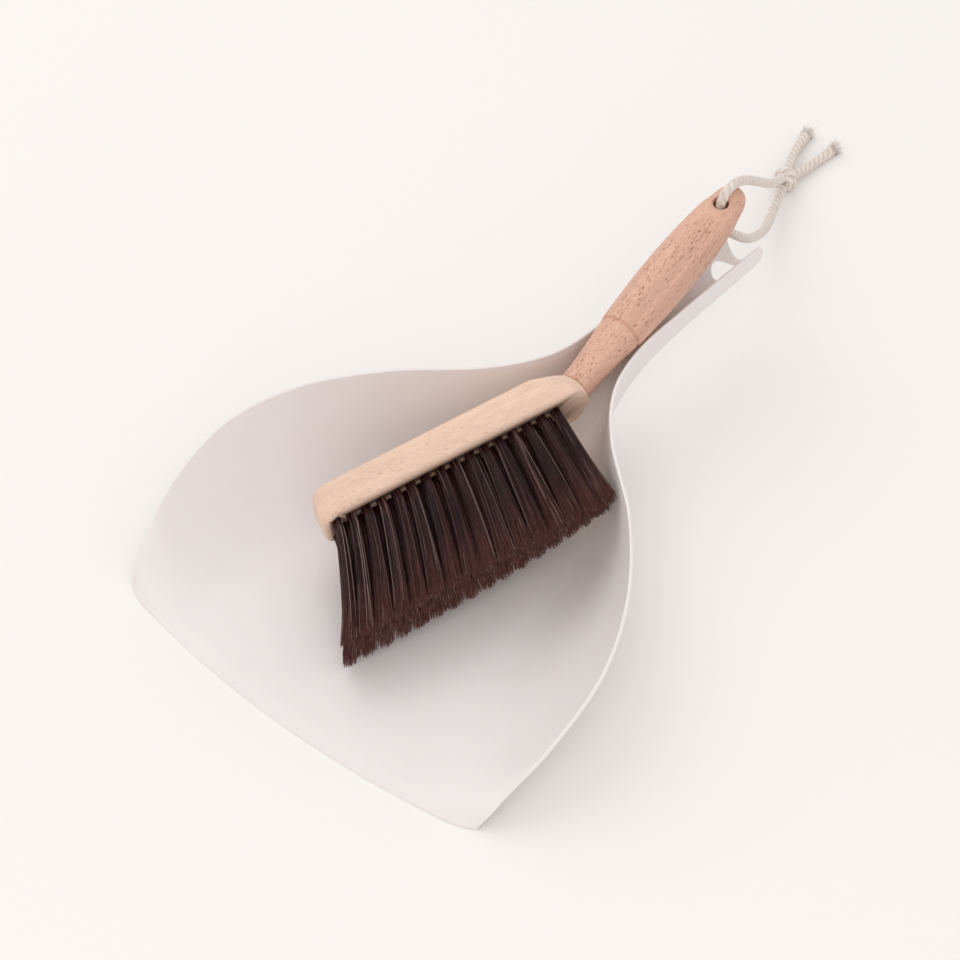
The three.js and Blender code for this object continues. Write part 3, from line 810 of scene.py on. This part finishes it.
# ---- Cord ----
def curve(points, count):
    """A centripetal Catmull-Rom curve through the points, at even steps along it."""
    p = np.asarray(points, float)
    p = np.concatenate([2 * p[:1] - p[1:2], p, 2 * p[-1:] - p[-2:-1]])
    knots = np.concatenate([[0], np.cumsum(np.linalg.norm(np.diff(p, axis=0), axis=1) ** 0.5)])
    u = np.linspace(knots[1], knots[-2], 600)
    i = np.clip(np.searchsorted(knots, u, "right") - 1, 1, len(p) - 3)
    k = [knots[i + n][:, None] for n in (-1, 0, 1, 2)]
    q = [p[i + n] for n in (-1, 0, 1, 2)]
    u = u[:, None]
    a = [((k[n + 1] - u) * q[n] + (u - k[n]) * q[n + 1]) / (k[n + 1] - k[n]) for n in range(3)]
    b = [((k[n + 2] - u) * a[n] + (u - k[n]) * a[n + 1]) / (k[n + 2] - k[n]) for n in range(2)]
    fine = ((k[2] - u) * b[0] + (u - k[1]) * b[1]) / (k[2] - k[1])
    way = np.concatenate([[0], np.cumsum(np.linalg.norm(np.diff(fine, axis=0), axis=1))])
    even = np.linspace(0, way[-1], count)
    return np.stack([np.interp(even, way, fine[:, n]) for n in range(3)], 1)


def write_map(piece, uv):
    """Stores a map coordinate for each point, U round the cord and V along it."""
    corner = np.empty(len(piece.data.loops), np.int32)
    piece.data.loops.foreach_get("vertex_index", corner)
    uv = uv.reshape(-1, 2)[corner].astype(np.float32)
    piece.data.uv_layers.new(name="lay").data.foreach_set("uv", uv.ravel())


def rope(name, line, cord, away, taper=None):
    """A three-strand cord along a line. Its section is three circles side by side, turning once in a
    lay: radius(angle) = R (0.7 + 0.3 sqrt |cos(1.5 (angle - turn))|), measured from the direction away."""
    radius, lay, sides = cord.radius / MM, cord.lay / MM, 30
    tangent = unit(np.gradient(line, axis=0))
    side = unit(np.cross(tangent, away))
    up = np.cross(side, tangent)
    way = np.concatenate([[0], np.cumsum(np.linalg.norm(np.diff(line, axis=0), axis=1))])
    angle = np.linspace(0, 2 * math.pi, sides, endpoint=False)[None]
    turn = 2 * math.pi * way[:, None] / lay
    hill = np.abs(np.cos(1.5 * (angle - turn)))
    size_at = np.ones(len(line)) if taper is None else taper
    reach = radius * size_at[:, None] * (0.7 + 0.3 * np.sqrt(hill))
    points = line[:, None] + side[:, None] * (reach * np.cos(angle))[..., None]
    points = points + up[:, None] * (reach * np.sin(angle))[..., None]
    first, last = (np.repeat(end, sides, 1) for end in (line[:1, None], line[-1:, None]))
    points = np.concatenate([first, points, last])
    faces = grid_faces(len(points), sides, wrap=True)
    hill = np.concatenate([hill[:1], hill, hill[-1:]])
    turn = np.concatenate([turn[:1], turn, turn[-1:]])
    way = np.concatenate([way[:1], way, way[-1:]])
    piece = make(name, points, faces, sharp=180)
    # painted shade: darkest in the furrows between the strands
    attribute(piece, "furrow", 1 - np.sqrt(hill))
    around = np.abs((angle - turn) / (2 * math.pi) * 3 % 2 - 1)
    write_map(piece, np.stack([around, np.repeat(way[:, None], sides, 1) / 10], -1))
    return piece


def frayed(name, end, way, cord, seed):
    """Loose threads at a cut end: each leaves the section and opens outwards, p = end + way s + out s^2."""
    rng = np.random.default_rng(seed)
    count, rings, sides = 170, 6, 3
    way = unit(np.asarray(way, float))
    side = unit(np.cross(way, (0, 0, 1.0)))
    up = np.cross(side, way)
    radius, length = cord.radius / MM * 0.8, cord.fray / MM
    distance, angle = np.sqrt(rng.random(count)), rng.random(count) * 2 * math.pi
    out = side * np.cos(angle)[:, None] + up * np.sin(angle)[:, None]
    u = np.linspace(0, 1, rings)
    reach = length * (0.6 + 0.4 * rng.random(count))
    spread_by = distance * (0.25 + 0.35 * rng.random(count)) * length * 0.8
    line = end + way * (u[None] * reach[:, None] - 1.5)[..., None]
    line = line + out[:, None] * (radius * distance[:, None] + spread_by[:, None] * u[None] ** 1.6)[..., None]
    line = line + rng.normal(0, 0.22, line.shape) * u[None, :, None]
    thick = THREAD_RADIUS * (1 - 0.4 * u)[None, :, None]
    corner = np.arange(sides) * 2 * math.pi / sides
    ring = side * np.cos(corner)[:, None] + up * np.sin(corner)[:, None]
    points = line[:, :, None] + thick[..., None] * ring
    points[..., 2] = np.maximum(points[..., 2], 0.1)
    piece = threads_mesh(name, points)
    attribute(piece, "furrow", rng.random(count * rings * sides) * 0.25)
    around = np.repeat(rng.random(count), rings * sides)
    write_map(piece, np.stack([around, np.tile(np.repeat(u, sides), count)], -1))
    return piece


def knot_line(count):
    """A tight coil round a leaning axis, its ends tucked in: radius KNOT_COIL (sin pi u)^0.35."""
    u = np.linspace(0.004, 0.996, count)
    turn = KNOT_TURNS * 2 * math.pi * u
    radius = KNOT_COIL * np.sin(math.pi * u) ** 0.35
    line = np.stack([radius * np.cos(turn), KNOT_HEIGHT * (u - 0.5), radius * np.sin(turn)], 1)
    lean = Euler(tuple(math.radians(a) for a in KNOT_LEAN)).to_matrix()
    return line @ np.array(lean).T


class DUSTPAN_OT_cord(bpy.types.Operator):
    """Make the cord: two legs from the handle's hole down to the knot, the knot, and two frayed tails"""

    bl_idname = "dustpan.cord"
    bl_label = "Cord"

    def execute(self, context):
        brush, cord = context.scene.brush_sizes, context.scene.cord_sizes
        hole = (brush.handle_length - brush.hole_from_tip) / MM
        beside = cord.radius / MM + KNOT_CORE

        def at(a, across, up):
            return on_handle([across, a, up], brush)

        def near_knot(x, y, z):
            return KNOT_AT + unit(np.array([x, y, z]) - KNOT_AT) * beside

        routes = {
            "upper": [
                at(hole, 0, 0.1), at(hole, 0, 7), at(hole + 3.5, 0, 12.8), at(hole + 11, 0, 12.2),
                at(hole + 20, 0, 6), (-15, 283, 64), (-23, 308, 43), near_knot(-40, 334, 22),
            ],
            "lower": [
                at(hole, 0, -0.1), at(hole, 0, -8), at(hole + 4, 3, -16), (-4, 257, 48),
                (-9, 275, 34), (-18, 301, 18), (-28, 324, 9), near_knot(-32, 334, 3),
            ],
            "left": [near_knot(-54, 382, 9), (-52, 382, 5), (-57, 400, 3)],
            "right": [near_knot(-35, 381, 3), (-39, 380, 3.5), (-38, 398, 3)],
        }
        material = cotton_material()
        lines = {name: curve(points, 150 if name in ("upper", "lower") else 50)
                 for name, points in routes.items()}
        away = np.array([1.0, 0.15, 0.1])
        for name, line in lines.items():
            taper = None
            if name in ("left", "right"):
                taper = 1 + 0.18 * np.linspace(0, 1, len(line)) ** 3
            piece = rope("cord_" + name + "_rope", line, cord, away, taper)
            node_name = "cord_" + name if name in ("upper", "lower") else "cord_tail_" + name
            finish(piece, material, "brush", "cotton_cord", node_name)
        line = knot_line(220)
        swell = np.full(len(line), KNOT_SWELL)
        knot = rope("knot", line + KNOT_AT, cord, unit(line + 1e-3), swell)
        finish(knot, material, "brush", "cotton_cord", "cord_knot")
        for seed, name in ((7, "left"), (8, "right")):
            line = lines[name]
            end = frayed("fray_" + name, line[-1], line[-1] - line[-4], cord, seed)
            finish(end, material, "brush", "cotton_cord")
        return {"FINISHED"}


# ---- Stage ----
def area_light(name, at, aim, width, watts, colour=(1, 1, 1)):
    """A square soft light that looks at a point."""
    light = bpy.data.lights.new(name, "AREA")
    light.size, light.energy, light.color = width, watts, colour
    lamp = bpy.data.objects.new(name, light)
    lamp.location = at
    lamp.rotation_euler = (Vector(aim) - Vector(at)).to_track_quat("-Z", "Y").to_euler()
    bpy.context.scene.collection.objects.link(lamp)


class DUSTPAN_OT_stage(bpy.types.Operator):
    """Set up the camera, the pale floor and the soft studio light"""

    bl_idname = "dustpan.stage"
    bl_label = "Stage"

    def execute(self, context):
        scene = context.scene
        target, camera_at = Vector((-0.0259, 0.0687, 0.0)), Vector((0.4623, -0.5078, 0.8024))
        view = bpy.data.cameras.new("camera")
        view.lens, view.sensor_width = 82.5, 36
        view.clip_start, view.clip_end = 0.05, 50
        camera = bpy.data.objects.new("camera", view)
        camera.location = camera_at
        camera.rotation_euler = (target - camera_at).to_track_quat("-Z", "Y").to_euler()
        scene.collection.objects.link(camera)
        scene.camera = camera

        corners = np.array([[-3, -3, 0], [3, -3, 0], [3, 3, 0], [-3, 3, 0.0]]) / MM
        floor = make("floor", corners, np.array([[0, 1, 2, 3]]))
        material, tree, shader, place = start_material("floor")
        tone = node(tree, "TexNoise", Vector=place, Scale=3.0, Detail=2.0).outputs[0]
        base = np.array(scene.finishes.floor)
        tree.links.new(mix(tree, tone, base * 0.995, base), shader.inputs["Base Color"])
        shader.inputs["Roughness"].default_value = 0.9
        shader.inputs["Specular IOR Level"].default_value = 0.1
        floor.data.materials.append(material)

        world = bpy.data.worlds.new("studio")
        world.use_nodes = True
        sky = world.node_tree.nodes["Background"]
        sky.inputs["Color"].default_value = (1, 0.985, 0.97, 1)
        sky.inputs["Strength"].default_value = 0.86
        scene.world = world
        area_light("key", (-1.5, 0.5, 1.7), (0, 0.05, 0), 1.9, 10, (0.98, 0.99, 1.0))
        area_light("fill", (0.9, -1.3, 1.5), (0, 0.05, 0), 1.6, 9, (1.0, 0.98, 0.97))
        scene.view_settings.view_transform = "Standard"
        scene.view_settings.look = "None"
        return {"FINISHED"}


# ---- Panel and registration ----
class DUSTPAN_PT_panel(bpy.types.Panel):
    """Lists the pieces' operators and their sizes"""

    bl_idname = "DUSTPAN_PT_panel"
    bl_label = "Dust Pan and Brush"
    bl_space_type = "VIEW_3D"
    bl_region_type = "UI"
    bl_category = "Dust Pan"

    def draw(self, context):
        for operator in OPERATORS:
            self.layout.operator(operator.bl_idname)
        for name, group_class in GROUPS.items():
            box = self.layout.box()
            for key in group_class.__annotations__:
                box.prop(getattr(context.scene, name), key)


OPERATORS = (
    DUSTPAN_OT_stage,
    DUSTPAN_OT_cord,
    DUSTPAN_OT_pan,
    DUSTPAN_OT_block,
    DUSTPAN_OT_handle,
    DUSTPAN_OT_tufts,
)


def register():
    for item in (*GROUPS.values(), *OPERATORS, DUSTPAN_PT_panel):
        bpy.utils.register_class(item)
    for name, group_class in GROUPS.items():
        setattr(bpy.types.Scene, name, PointerProperty(type=group_class))


def unregister():
    for name in GROUPS:
        delattr(bpy.types.Scene, name)
    for item in reversed((*GROUPS.values(), *OPERATORS, DUSTPAN_PT_panel)):
        bpy.utils.unregister_class(item)


def main():
    register()
    bpy.ops.dustpan.stage()
    bpy.ops.dustpan.cord()
    bpy.ops.dustpan.pan()
    bpy.ops.dustpan.block()
    bpy.ops.dustpan.handle()
    bpy.ops.dustpan.tufts()


if __name__ == "__main__":
    main()
